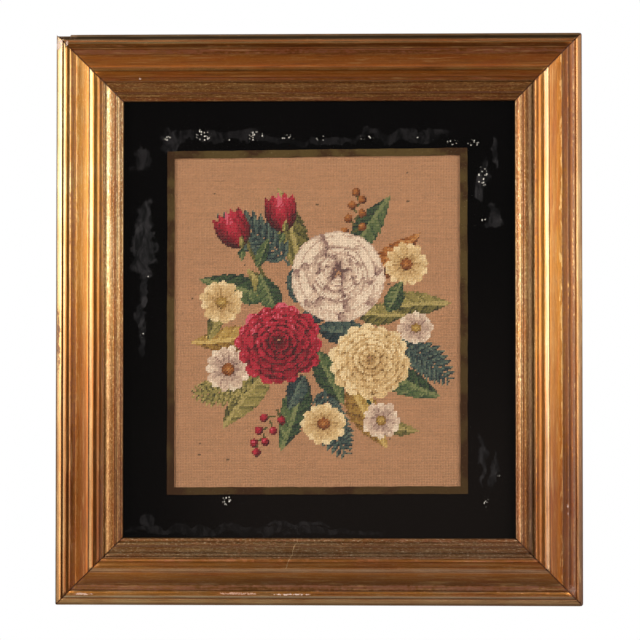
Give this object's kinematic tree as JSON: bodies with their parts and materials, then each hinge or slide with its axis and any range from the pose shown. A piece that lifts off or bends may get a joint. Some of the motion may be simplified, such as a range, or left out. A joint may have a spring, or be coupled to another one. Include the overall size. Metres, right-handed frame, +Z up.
{
  "type": "framed needlepoint picture with gilt frame",
  "caption": "Flat needlepoint flower picture behind glass with a painted black border, held in a wide gilt wooden frame with a liner, made to hang on a wall.",
  "frame": {"origin": "middle of the top rail's back face, in the plane of the wall", "axes": "+Z up, +Y into the wall; the picture faces -Y, and +X is to the viewer's right"},
  "size_m": [0.593, 0.0412, 0.644],
  "materials": {
    "frame_gilding": "worn gilding over red-brown clay and gesso on wood, semi-gloss",
    "liner_gilding": "worn gilding on wood, satin",
    "bare_wood": "plain sawn wood, matte",
    "wool": "wool tent stitch on canvas, matte",
    "black_paint": "black enamel on the back of the glass, glossy",
    "band_paint": "dull gold paint on the back of the glass, glossy",
    "glass": "clear, polished"
  },
  "bodies": {
    "root": {"outer_rail_top": "frame_gilding", "outer_rail_right": "frame_gilding", "outer_rail_bottom": "frame_gilding", "outer_rail_left": "frame_gilding", "liner_rail_top": "liner_gilding", "liner_rail_right": "liner_gilding", "liner_rail_bottom": "liner_gilding", "liner_rail_left": "liner_gilding", "backing_board": "bare_wood", "needlework": "wool", "painted_border": "black_paint", "gilt_band": "band_paint", "glass_pane": "glass"}
  },
  "joints": []
}
